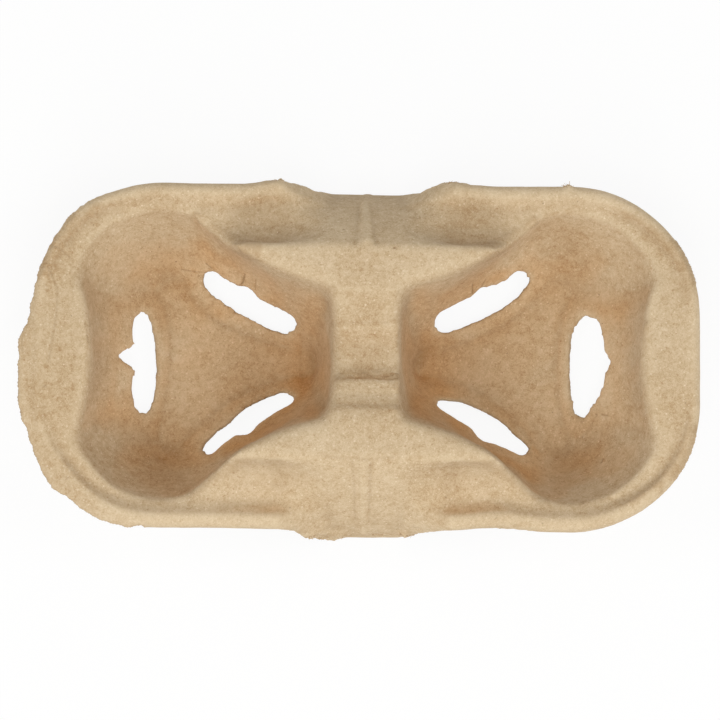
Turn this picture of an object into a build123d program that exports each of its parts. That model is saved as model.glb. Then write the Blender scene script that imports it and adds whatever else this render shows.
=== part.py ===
from build123d import *
import os
from math import atan2, cos, degrees, hypot, radians, sin

# A two-cup carrier of moulded paper pulp: one sheet of even thickness, drawn onto a screen.
# X runs through both cups, Y across the carrier and Z up, with the table at zero.
# The sheet lies between two mould forms, each the solid below one of its faces, so the sheet
# is the upper form less the under form. Each form takes grow: how far its face lies under the
# sheet's upper face, so zero for the upper form and the sheet's thickness for the under form.

# Sheet
sheet = 2.0

# Over the rolled rim and up to the shelves
rim_length = 214.0
rim_width = 111.0
rim_corner = 41.5
shelf_height = 44.5

# From the shelf down to the trough, across the trough, and up its crown to the end decks
shelf_edge_round = 2.1
brink_drop = 1.4
cove_radius = 11.2
trough_flat = 2.5
deck_crown = 2.6

# Bead round the rim: its rise from the trough, its roll outwards and the skirt below the roll
bead_rise = 3.2
bead_slope_run = 3.5
bead_flat = 0.3
bead_roll = 3.6
skirt_run = 2.9
skirt_margin = 1.6

# The bead is narrower at the two ends: its crest and its foot, from the rim's edge
crest_end_inset = 2.8
foot_end_inset = 4.6

# Saddle between the cups: a stepped valley along X
saddle_depth = 9.0
saddle_narrow_half = 10.2
saddle_round = 1.8

# Scoops: the middle of each long side falls to the table as an apron. Its top lies inside the
# shelf's edge, its middle inside the rim's edge and its hem outside it
scoop_top_inset = 0.8
scoop_middle_inset = 7.9
scoop_middle_drop = 18.0
scoop_hem_outset = 1.5
apron_half_length = 11.5
scoop_half_length = 27.5

# Rib down each scoop
rib_radius = 2.7
rib_proud = 1.0
rib_end = 2.0
rib_end_taper = 40

# Rim flattened outwards round the left end, from the end deck to the near corner
flap_drop = 1.4
flap_seat = 3.2
flap_spread = 1.06

# Cup wells: the deck between a well and the rim's end, the margin between a corner lobe and the
# rim's side, the height where the wall leaves the floor's round, and the run past the shelves
end_deck_width = 15.55
lobe_margin = 3.5
well_foot_height = 9.0
well_overrun = 1.5

# Slots through the foot of the well walls
slot_width = 8.0
slot_end_run = 2.2

# Mould forms below the table, and the overrun of every cut
form_depth = 12.0
overrun = 15.0

# Straight runs that draw a round: the shelf's edge, the cove, the bead's roll, the flare beside a
# scoop, the rib, and the arcs of a well section, which are side, lobe, end, lobe, side and tip
edge_runs = 2
cove_runs = 4
roll_runs = 3
flare_runs = 3
rib_runs = 4
rib_sides = 16
section_runs = (8, 14, 8, 14, 8, 6)

# Valley of the saddle from its middle out, as shares of the shelf's half width and of its depth
saddle_shares = ((0.099, 1), (0.25, 0.5), (0.372, 0.422), (0.529, 0.089), (0.651, 0))

# Places down the scoop's face, as shares of its length: the lines that run out into the shelf's
# edge, the cove, the bead and the skirt on either side, and the two ends of the rib
scoop_edge_shares = (
    0.02, 0.04, 0.1, 0.15, 0.2, 0.25, 0.3, 0.4, 0.52, 0.6, 0.65, 0.7, 0.75, 0.88, 1,
)
rib_shares = (0.035, 0.86)

# Line along the middle of a side slot and of an end slot, from the well centre, as shares of the
# well's reach
side_slot_shares = ((-0.494, 0.26), (0.056, 0.55))
end_slot_shares = ((0.456, -0.3), (0.456, 0.296))

# Where the bridge between the cups ends inside a well, as a share of the well's reach
bridge_end_share = 0.216

# Places along a slot, as shares of its length, and how far its edge lies outward and inward
# there, as shares of the slot width: far left, far right, near left, near right, left end
# and right end
slot_place_shares = (0, 0.2, 0.42, 0.54, 0.68, 0.84, 1)
slot_edge_shares = (
    ((0.26, 0.25, 0.21, 0.44, 0.29, 0.29, 0.37), (0.44, 0.6, 0.62, 0.61, 0.56, 0.5, 0.35)),
    ((0.39, 0.41, 0.4, 0.57, 0.38, 0.42, 0.55), (0.36, 0.45, 0.52, 0.51, 0.49, 0.4, 0.14)),
    ((0.1, 0.09, 0.2, 0.45, 0.14, 0.26, 0.45), (0.53, 0.63, 0.64, 0.59, 0.39, 0.3, 0.08)),
    ((0.25, 0.28, 0.33, 0.61, 0.43, 0.34, 0.31), (0.14, 0.48, 0.56, 0.55, 0.54, 0.31, 0.21)),
    ((0.43, 0.51, 0.44, 1.15, 0.46, 0.53, 0.46), (0.19, 0.35, 0.4, 0.35, 0.31, 0.24, 0.06)),
    ((0.1, 0.59, 0.78, 0.99, 0.7, 0.66, 0.51), (0.44, 0.53, 0.6, 0.6, 0.56, 0.53, 0.28)),
)
# Torn edge of the flattened rim, from the far side to the near corner, as shares of half the
# rim's length and width
flap_shares = (
    (-0.978, 0.432), (-1.004, 0.288), (-1.009, 0.189), (-1.034, 0.09), (-1.04, -0.072),
    (-1.036, -0.27), (-1.024, -0.378), (-1.008, -0.441), (-0.998, -0.523), (-0.978, -0.652),
    (-0.957, -0.739), (-0.935, -0.787), (-0.89, -0.834), (-0.841, -0.901), (-0.78, -0.962),
    (-0.701, -1.0), (-0.654, -0.982),
)
# Well sections from the floor up, as shares of the reach, from the well centre: the tip at the
# saddle, the corner beside it, the side wall's middle and far end, the corner lobe, and the end
# wall's near end and middle
floor_shares = ((-0.66, 0), (-0.615, 0.085), (-0.15, 0.235), (0.225, 0.54), (0.32, 0.56), (0.36, 0.475), (0.255, 0))
foot_shares = ((-0.69, 0), (-0.645, 0.16), (-0.225, 0.445), (0.11, 0.67), (0.42, 0.68), (0.60, 0.39), (0.565, 0))
mouth_shares = ((-0.76, 0), (-0.73, 0.34), (-0.235, 0.585), (0.146, 0.91), (0.586, 0.87), (0.86, 0.52), (0.765, 0))
top_shares = ((-0.78, 0), (-0.745, 0.44), (-0.185, 0.645), (0.235, 1.04), (0.68, 0.98), (0.955, 0.575), (0.845, 0))

# Heights from the shelf down
trough_height = shelf_height - shelf_edge_round - brink_drop - cove_radius
bead_height = trough_height + bead_rise
roll_height = bead_height - bead_roll
skirt_height = roll_height - skirt_run
flap_height = bead_height - flap_drop

# Places across the carrier, from the rim's edge in
crest_side_inset = bead_roll + bead_flat
foot_side_inset = crest_side_inset + bead_slope_run
cove_centre = rim_width / 2 - foot_side_inset - trough_flat
shelf_half_width = cove_centre - cove_radius

# Wells: their reach along and across the carrier, their centre, and where the bridge and the
# saddle end inside them
tip_share, end_share = top_shares[0][0], top_shares[-1][0]
well_reach_x = (rim_length / 2 - end_deck_width - saddle_narrow_half) / (end_share - tip_share)
well_reach_y = (rim_width / 2 - lobe_margin) / max(y for x, y in top_shares)
well_centre = saddle_narrow_half - tip_share * well_reach_x
bridge_half_length = well_centre + bridge_end_share * well_reach_x
saddle_half_length = well_centre / 2


def round_points(centre_y, centre_z, radius, start_angle, end_angle, runs):
    """Points along an arc that divide it into straight runs, with both its ends"""
    turn = radians(end_angle - start_angle) / runs
    angles = [radians(start_angle) + turn * step for step in range(runs + 1)]
    return [(centre_y + radius * cos(angle), centre_z + radius * sin(angle)) for angle in angles]


def well_section(height, shares, grow):
    """Draw one closed section of the right well, grown outward, from six arcs in straight runs"""
    far_side = [(well_centre + x * well_reach_x, y * well_reach_y) for x, y in shares]
    ring = far_side + [(x, -y) for x, y in reversed(far_side[1:-1])]
    corners, middles = ring[1::2], ring[2::2] + ring[:1]
    normals = []
    for start, end in zip(corners, corners[1:] + corners[:1]):
        run = hypot(end[0] - start[0], end[1] - start[1])
        normals.append(((start[1] - end[1]) / run, (end[0] - start[0]) / run))
    grown = []
    for index, (x, y) in enumerate(corners):
        (ax, ay), (bx, by) = normals[index - 1], normals[index]
        spread = grow / (1 + ax * bx + ay * by)
        grown.append((x + (ax + bx) * spread, y + (ay + by) * spread))
    outline = []
    for start, end, (mx, my), (nx, ny), runs in zip(
        grown, grown[1:] + grown[:1], middles, normals, section_runs
    ):
        arc = ThreePointArc(start, (mx + nx * grow, my + ny * grow), end, mode=Mode.PRIVATE)
        places = [arc @ (step / runs) for step in range(runs)]
        outline += [(place.X, place.Y) for place in places]
    with BuildSketch(Plane.XY.offset(height)) as section:
        with BuildLine():
            Polyline(*outline, close=True)
        make_face()
    return section.sketch.faces()[0]


def cup_wells(grow):
    """Both wells as solids to cut away, lofted from the floor to above the shelves"""
    with BuildPart() as wells:
        loft([
            well_section(sheet - grow, floor_shares, grow / 2),
            well_section(well_foot_height - grow / 2, foot_shares, grow),
            well_section(trough_height, mouth_shares, grow),
            well_section(shelf_height + well_overrun, top_shares, grow),
        ])
        mirror(about=Plane.YZ)
    return wells.part


def rounded_outline(height, end_inset, side_inset):
    """A rounded rectangle inside the rim's outline, at one height"""
    with BuildSketch(Plane.XY.offset(height)) as outline:
        RectangleRounded(rim_length - 2 * end_inset, rim_width - 2 * side_inset,
                         rim_corner - (end_inset + side_inset) / 2)
    return outline.sketch.faces()[0]


def roll_points(grow):
    """The bead's outer round from its crest to the skirt, across the carrier"""
    return round_points(rim_width / 2 - bead_roll, roll_height, bead_roll - grow, 90, 0, roll_runs)


def rim_form(grow):
    """The rim up to its bead, with the trough cut into it"""
    roll = roll_points(grow)[::-1]
    with BuildPart() as rim:
        extrude(rounded_outline(-form_depth, grow, grow), amount=form_depth + roll_height)
        for (outer, low), (inner, high) in zip(roll, roll[1:]):
            top = rim.faces().sort_by(Axis.Z)[-1]
            extrude(top, amount=high - low, taper=degrees(atan2(outer - inner, high - low)))
        loft([
            rounded_outline(trough_height - grow, foot_end_inset - grow / 2, foot_side_inset - grow / 2),
            rounded_outline(bead_height - grow, crest_end_inset, crest_side_inset),
        ], mode=Mode.SUBTRACT)
    return rim.part


def deck_form(grow):
    """The floor of the trough, crowned so that it rises to the end decks"""
    floor = trough_height - grow
    deck_half = rim_width / 2 - crest_side_inset
    with BuildPart() as deck:
        with BuildSketch(Plane.YZ.offset(-rim_length / 2)):
            with BuildLine():
                ThreePointArc((-cove_centre, floor), (0, floor + deck_crown), (cove_centre, floor))
                Polyline((cove_centre, floor), (deck_half, floor), (deck_half, -form_depth),
                         (-deck_half, -form_depth), (-deck_half, floor), (-cove_centre, floor))
            make_face()
        extrude(amount=rim_length)
        outline = rounded_outline(-form_depth, crest_end_inset, crest_side_inset)
        extrude(outline, amount=form_depth + shelf_height, mode=Mode.INTERSECT)
    return deck.part


def shelf_points(grow):
    """The upper edge of a section across a shelf, from its middle over its edge and down the cove"""
    edge_round = shelf_edge_round / (1 + grow / sheet)
    shelf = shelf_height - grow
    edge_centre = shelf_half_width - grow - edge_round
    edge = round_points(edge_centre, shelf - edge_round, edge_round, 90, 0, edge_runs)
    cove = round_points(cove_centre, trough_height + cove_radius, cove_radius + grow, 180, 270, cove_runs)
    return [(0, shelf)] + edge + cove


def side_points(grow):
    """The upper edge of a section across a shelf, the trough, the bead and its skirt"""
    foot = (rim_width / 2 - foot_side_inset + grow / 2, trough_height - grow)
    crest = (rim_width / 2 - crest_side_inset, bead_height - grow)
    skin = rim_width / 2 - grow
    skirt = [(skin, roll_height - skirt_run / 2), (skin, skirt_height), (skin, -form_depth)]
    return shelf_points(grow) + [foot, crest] + roll_points(grow) + skirt


def scoop_face_line():
    """The fall line of the scoop's face, from the shelf to the table"""
    return ThreePointArc(
        (shelf_half_width - scoop_top_inset, shelf_height),
        (rim_width / 2 - scoop_middle_inset, shelf_height - scoop_middle_drop),
        (rim_width / 2 + scoop_hem_outset, 0),
        mode=Mode.PRIVATE,
    )


def scoop_points(grow):
    """The upper edge of a section down the scoop, with as many points as the side has"""
    line = scoop_face_line()
    face = []
    for share in scoop_edge_shares:
        place, tangent = line @ share, line % share
        face.append((place.X + tangent.Y * grow, place.Y - tangent.X * grow))
    hem, tangent = face[-1], line % 1
    foot = (hem[0] - (hem[1] + form_depth) * tangent.X / tangent.Y, -form_depth)
    shelf = shelf_height - grow
    edge = face[edge_runs - 1][0] - shelf_edge_round
    return [(0, shelf), (edge, shelf)] + face + [foot]


def half_section(place, upper_edge):
    """The far half of a section across the carrier, closed below the table"""
    with BuildLine(Plane.YZ.offset(place)) as outline:
        Polyline((0, -form_depth), *upper_edge, close=True)
    return Face(outline.wire())


def flared_side(grow):
    """The stretch where the scoop turns into cove, trough and bead, in flat facets"""
    foot = [(0, -form_depth)]
    scoop, side = foot + scoop_points(grow) + foot, foot + side_points(grow) + foot
    rows = []
    for step in range(flare_runs + 1):
        share = step / flare_runs
        x = apron_half_length + (scoop_half_length - apron_half_length) * share
        rows.append([
            (x, near_y + (far_y - near_y) * share, near_z + (far_z - near_z) * share)
            for (near_y, near_z), (far_y, far_z) in zip(scoop, side)
        ])
    outlines = [rows[0][:-1], rows[-1][:-1]]
    for near, far in zip(rows, rows[1:]):
        for upper_near, lower_near, upper_far, lower_far in zip(near, near[1:], far, far[1:]):
            outlines += [(upper_near, lower_near, upper_far), (lower_near, lower_far, upper_far)]
    return Solid(Shell([Face(Wire.make_polygon(outline)) for outline in outlines if len(set(outline)) > 2]))


def bridge_form(grow):
    """The bridge between the cups: a scoop in the middle that turns into cove, trough and bead"""
    shelf = shelf_points(grow) + [(cove_centre, -form_depth)]
    with BuildPart() as bridge:
        extrude(half_section(-apron_half_length, scoop_points(grow)), amount=2 * apron_half_length,
                dir=(1, 0, 0))
        add(flared_side(grow))
        extrude(half_section(scoop_half_length, shelf), amount=bridge_half_length - scoop_half_length,
                dir=(1, 0, 0))
        mirror(about=Plane.YZ)
        mirror(about=Plane.XZ)
    return bridge.part


def scoop_ribs():
    """The rib down the middle of each scoop"""
    line = scoop_face_line()
    sink = rib_radius - rib_proud

    def core_point(share):
        tangent = line % share
        place = line @ share + Vector(tangent.Y, -tangent.X) * sink
        return (0, place.X, place.Y)

    head, foot = rib_shares
    with BuildPart() as ribs:
        with BuildLine() as path:
            Polyline(*[core_point(head + (foot - head) * step / rib_runs) for step in range(rib_runs + 1)])
        with BuildSketch(Plane(origin=path.line @ 0, z_dir=path.line % 0)):
            RegularPolygon(rib_radius, rib_sides)
        sweep(transition=Transition.RIGHT)
        extrude(ribs.faces().sort_by(Axis.Z)[0], amount=rib_end, taper=rib_end_taper)
        mirror(about=Plane.XZ)
    return ribs.part


def saddle_cut(grow):
    """The stepped valley between the shelves"""
    floor_up = [
        (y * shelf_half_width, shelf_height - drop * saddle_depth - grow) for y, drop in saddle_shares
    ]
    brink = floor_up[-1][0]
    with BuildPart() as saddle:
        with BuildSketch(Plane.YZ.offset(-saddle_half_length)) as profile:
            with BuildLine():
                Polyline((0, floor_up[0][1]), *floor_up, (brink, shelf_height + overrun),
                         (0, shelf_height + overrun), close=True)
            make_face()
            mirror(about=Plane.YZ)
            across = profile.vertices().sort_by(Axis.Y)
            fillet(across[2:-2], saddle_round)
        extrude(amount=2 * saddle_half_length)
    return saddle.part


def flap_band(height, spread, inset):
    """The band between the rim's outline, inset, and the flap's torn edge, spread outward"""
    edge = [(x * rim_length / 2 * spread, y * rim_width / 2 * spread) for x, y in flap_shares]
    with BuildSketch(Plane.XY.offset(height)) as band:
        with BuildLine():
            Polyline(*edge, (0, 0), close=True)
        make_face()
        add(rounded_outline(height, inset, inset), mode=Mode.SUBTRACT)
    return band.sketch


def mould_form(grow):
    """The solid below one face of the sheet"""
    with BuildPart() as form:
        add(rim_form(grow))
        add(deck_form(grow))
        with BuildSketch(Plane.XY.offset(-form_depth)):
            Rectangle(2 * scoop_half_length, rim_width + 2 * overrun)
        extrude(amount=form_depth + shelf_height, mode=Mode.SUBTRACT)
        add(bridge_form(grow))
        add(saddle_cut(grow), mode=Mode.SUBTRACT)
        add(cup_wells(grow), mode=Mode.SUBTRACT)
    return form.part


def skirt_trim():
    """What is trimmed off below the rim: all round, and down both sides of each apron"""
    inset = sheet + skirt_margin
    below = -form_depth - overrun
    with BuildPart() as trim:
        with BuildSketch(Plane.XY.offset(below)):
            Rectangle(rim_length + overrun, rim_width + 2 * overrun)
            add(rounded_outline(below, inset, inset), mode=Mode.SUBTRACT)
            Rectangle(2 * scoop_half_length, rim_width + 2 * overrun, mode=Mode.SUBTRACT)
        extrude(amount=skirt_height - below)
        with BuildSketch(Plane.XZ.offset(shelf_half_width)):
            with BuildLine():
                Polyline((apron_half_length, below), (apron_half_length, 0),
                         (scoop_half_length, skirt_height), (scoop_half_length, below), close=True)
            make_face()
            mirror(about=Plane.YZ)
        extrude(amount=rim_width / 2 - shelf_half_width + overrun)
        mirror(about=Plane.XZ)
    return trim.part


def wall_slot(line_shares, edge_shares, turn):
    """One slot on the right well's far side or end, turned over to its own place"""
    (start_x, start_y), (end_x, end_y) = [
        (well_centre + x * well_reach_x, y * well_reach_y) for x, y in line_shares
    ]
    run = hypot(end_x - start_x, end_y - start_y)
    along = ((end_x - start_x) / run, (end_y - start_y) / run)
    outward = (-along[1], along[0]) if start_y > 0 else (along[1], -along[0])
    turn_x, turn_y = turn

    def place(length, side):
        x = start_x + along[0] * length + outward[0] * side
        y = start_y + along[1] * length + outward[1] * side
        return turn_x * x, turn_y * y

    outer, inner = [
        [place(at * run, sign * share * slot_width) for at, share in zip(slot_place_shares, shares)]
        for sign, shares in zip((1, -1), edge_shares)
    ]
    ring = [place(-slot_end_run, 0)] + outer + [place(run + slot_end_run, 0)] + inner[::-1]
    with BuildPart() as slot:
        with BuildSketch(Plane.XY.offset(-form_depth)):
            with BuildLine():
                Polyline(*ring, close=True)
            make_face()
        extrude(amount=form_depth + trough_height)
    return slot.part


with BuildPart() as carrier:
    add(mould_form(0))
    add(scoop_ribs())
    extrude(flap_band(-form_depth, 1, flap_seat), amount=form_depth + flap_height)
    add(mould_form(sheet), mode=Mode.SUBTRACT)
    extrude(flap_band(-form_depth, flap_spread, sheet), amount=form_depth + flap_height - sheet,
            mode=Mode.SUBTRACT)
    add(skirt_trim(), mode=Mode.SUBTRACT)
    split(bisect_by=Plane.XY, keep=Keep.TOP)
    for number, turn in enumerate(((-1, 1), (1, 1), (-1, -1), (1, -1))):
        add(wall_slot(side_slot_shares, slot_edge_shares[number], turn), mode=Mode.SUBTRACT)
    for number, turn in enumerate(((-1, 1), (1, 1))):
        add(wall_slot(end_slot_shares, slot_edge_shares[4 + number], turn), mode=Mode.SUBTRACT)

centred = Pos(-carrier.part.bounding_box().center().X, 0, 0) * carrier.part
centred.label = "carrier"
os.makedirs("parts", exist_ok=True)
export_step(centred, "parts/carrier.step")
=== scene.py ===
"""Studio scene of a two-cup drink carrier, one piece of moulded paper pulp."""

import logging
import math
import random
from dataclasses import dataclass
from enum import Enum

import bpy
import numpy as np
from mathutils import Matrix, Vector, noise
from mathutils.bvhtree import BVHTree
from mathutils.kdtree import KDTree

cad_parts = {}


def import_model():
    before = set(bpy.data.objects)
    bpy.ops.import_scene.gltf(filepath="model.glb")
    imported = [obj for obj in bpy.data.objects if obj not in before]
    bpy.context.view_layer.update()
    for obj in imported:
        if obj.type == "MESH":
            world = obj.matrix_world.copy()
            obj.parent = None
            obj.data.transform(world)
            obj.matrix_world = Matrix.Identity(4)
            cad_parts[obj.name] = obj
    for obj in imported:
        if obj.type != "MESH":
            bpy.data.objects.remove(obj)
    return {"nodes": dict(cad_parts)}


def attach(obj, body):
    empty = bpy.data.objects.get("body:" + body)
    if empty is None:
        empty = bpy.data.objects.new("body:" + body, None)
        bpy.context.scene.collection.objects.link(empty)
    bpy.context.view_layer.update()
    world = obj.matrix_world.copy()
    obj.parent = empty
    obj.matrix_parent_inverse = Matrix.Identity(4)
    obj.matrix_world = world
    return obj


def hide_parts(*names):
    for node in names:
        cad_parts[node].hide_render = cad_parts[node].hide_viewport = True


LOG = logging.getLogger("carrier")
MM = 0.001
NOISE_SEED = 11
WHITE = (1, 1, 1, 1)
Pixel = tuple[float, float]

# Width and depth in millimetres and shade of the folds that run round the slots of the floors
FLOOR_FOLD = (1.1, 0.32, 0.2)


def linear(hex_colour: str) -> tuple[float, float, float, float]:
    """Turn an sRGB hex colour into linear values with alpha.

    Args:
        hex_colour: Six hex digits.

    Returns:
        Linear red, green, blue and an alpha of 1.
    """
    parts = [int(hex_colour[i : i + 2], 16) / 255 for i in (0, 2, 4)]
    r, g, b = (c / 12.92 if c <= 0.04045 else ((c + 0.055) / 1.055) ** 2.4 for c in parts)
    return r, g, b, 1.0


def scale_of(size_mm: float) -> float:
    """Noise scale on Object coordinates, in metres, for features of a size in millimetres."""
    return 1.0 / (size_mm * MM)


def from_mm(place: tuple[float, float, float]) -> Vector:
    """A place in metres from its millimetres."""
    return Vector((place[0] * MM, place[1] * MM, place[2] * MM))


def deselect_all() -> None:
    """Leave nothing selected, in object mode."""
    if bpy.context.object and bpy.context.object.mode != "OBJECT":
        bpy.ops.object.mode_set(mode="OBJECT")
    bpy.ops.object.select_all(action="DESELECT")


def pick(obj: bpy.types.Object) -> None:
    """Select one object alone and make it active.

    Args:
        obj: The object that the next operator acts on.
    """
    deselect_all()
    obj.select_set(True)
    bpy.context.view_layer.objects.active = obj


def apply_modifier(obj: bpy.types.Object, kind: str, **settings: object) -> None:
    """Put one modifier on an object and apply it.

    Args:
        obj: The object to shape.
        kind: The modifier's type.
        **settings: The modifier's settings.
    """
    pick(obj)
    modifier = obj.modifiers.new(kind.lower(), kind)
    for key, value in settings.items():
        setattr(modifier, key, value)
    bpy.ops.object.modifier_apply(modifier=modifier.name)


def surface_of(obj: bpy.types.Object) -> BVHTree:
    """A tree that answers where lines meet an object."""
    return BVHTree.FromObject(obj, bpy.context.evaluated_depsgraph_get())


def normals_of(obj: bpy.types.Object) -> list[Vector]:
    """The way out of an object at each of its points, kept while the points move."""
    return [vert.normal.copy() for vert in obj.data.vertices]


def tree_of(places: list[Vector]) -> KDTree:
    """Make a search tree over places.

    Args:
        places: At least one place.

    Returns:
        The balanced tree.
    """
    tree = KDTree(len(places))
    for number, place in enumerate(places):
        tree.insert(place, number)
    tree.balance()
    return tree


def nearness(places: KDTree, place: Vector, reach_mm: float) -> float:
    """Say how near a place is to the nearest of some others.

    Args:
        places: The others.
        place: The place.
        reach_mm: Where nearness ends.

    Returns:
        From 1, on one of them, to 0, out of reach.
    """
    return max(0.0, 1.0 - places.find(place)[2] / (reach_mm * MM))


def wobble(place: Vector, length_mm: float) -> Vector:
    """A push that changes smoothly over a length, by the seeded noise."""
    return noise.noise_vector(place / (length_mm * MM))


def swell(place: Vector, length_mm: float) -> float:
    """A value around 0 that changes smoothly over a length, by the seeded noise."""
    return noise.noise(place / (length_mm * MM))


def add_node(
    tree: bpy.types.NodeTree, kind: str, settings: dict | None = None, links: dict | None = None
) -> bpy.types.Node:
    """Add a shader node with its settings and links.

    Args:
        tree: The node tree that gets the node.
        kind: The node's type name.
        settings: Attribute names, or input names or numbers, with their values.
        links: Input names or numbers with the sockets that feed them.

    Returns:
        The new node.
    """
    node = tree.nodes.new(kind)
    for key, value in (settings or {}).items():
        if key == "stops":
            elements = node.color_ramp.elements
            while len(elements) < len(value):
                elements.new(1.0)
            for element, (place, colour) in zip(elements, value):
                element.position, element.color = place, colour
        elif isinstance(key, str) and hasattr(node, key):
            setattr(node, key, value)
        else:
            node.inputs[key].default_value = value
    for key, socket in (links or {}).items():
        tree.links.new(socket, node.inputs[key])
    return node


class Trait(Enum):
    """What the tray's mesh remembers at each of its points, from 0 to 1."""

    SHELTER = "shelter"
    TORN = "torn"
    CREASED = "creased"
    RUBBED = "rubbed"


class Push(Enum):
    """Which way a spot of the sheet's edge is pushed."""

    FAR = (0.0, 1.0)
    NEAR = (0.0, -1.0)
    LEFT = (-1.0, 0.0)
    RIGHT = (1.0, 0.0)


def keep_trait(obj: bpy.types.Object, trait: Trait, shares: list[float]) -> None:
    """Store one trait on an object's points."""
    obj.data.attributes.new(trait.value, "FLOAT", "POINT").data.foreach_set("value", shares)


@dataclass(frozen=True)
class EdgeSpot:
    """A place on the sheet's edge that stands out of line, by its pixel in the photograph."""

    pixel: Pixel
    reach_mm: float
    way: Push
    by_mm: float


@dataclass(frozen=True)
class Crease:
    """A line in the sheet, by its pixels in the photograph; less than zero deep, it stands up.

    Its shade is painted shade along the line, and a shade below zero paints a highlight on it
    instead.
    """

    pixels: tuple[Pixel, ...]
    width_mm: float
    depth_mm: float
    shade: float


@dataclass(frozen=True)
class Tuft:
    """Loose fibres round one pixel of the photograph, and the way that they point."""

    pixel: Pixel
    way: Push
    count: int
    length_mm: float


@dataclass(frozen=True)
class Grain:
    """One noise in the pulp: the size of its features and how broken they are."""

    size_mm: float
    detail: float
    roughness: float
    distortion: float = 0.0


@dataclass(frozen=True)
class Dots:
    """Specks of one kind, at most one in a cell of the given size, drawn from their own place."""

    shift: float
    cell_mm: float
    radius: float
    tint: str
    strength: float


@dataclass(frozen=True)
class ShadeAndWear:
    """How one trait tints the sheet (painted shade, highlight or torn fibre), from where it starts
    to where it is full.
    """

    trait: Trait
    blend: str
    tint: str
    start: float
    full: float
    strength: float


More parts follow.
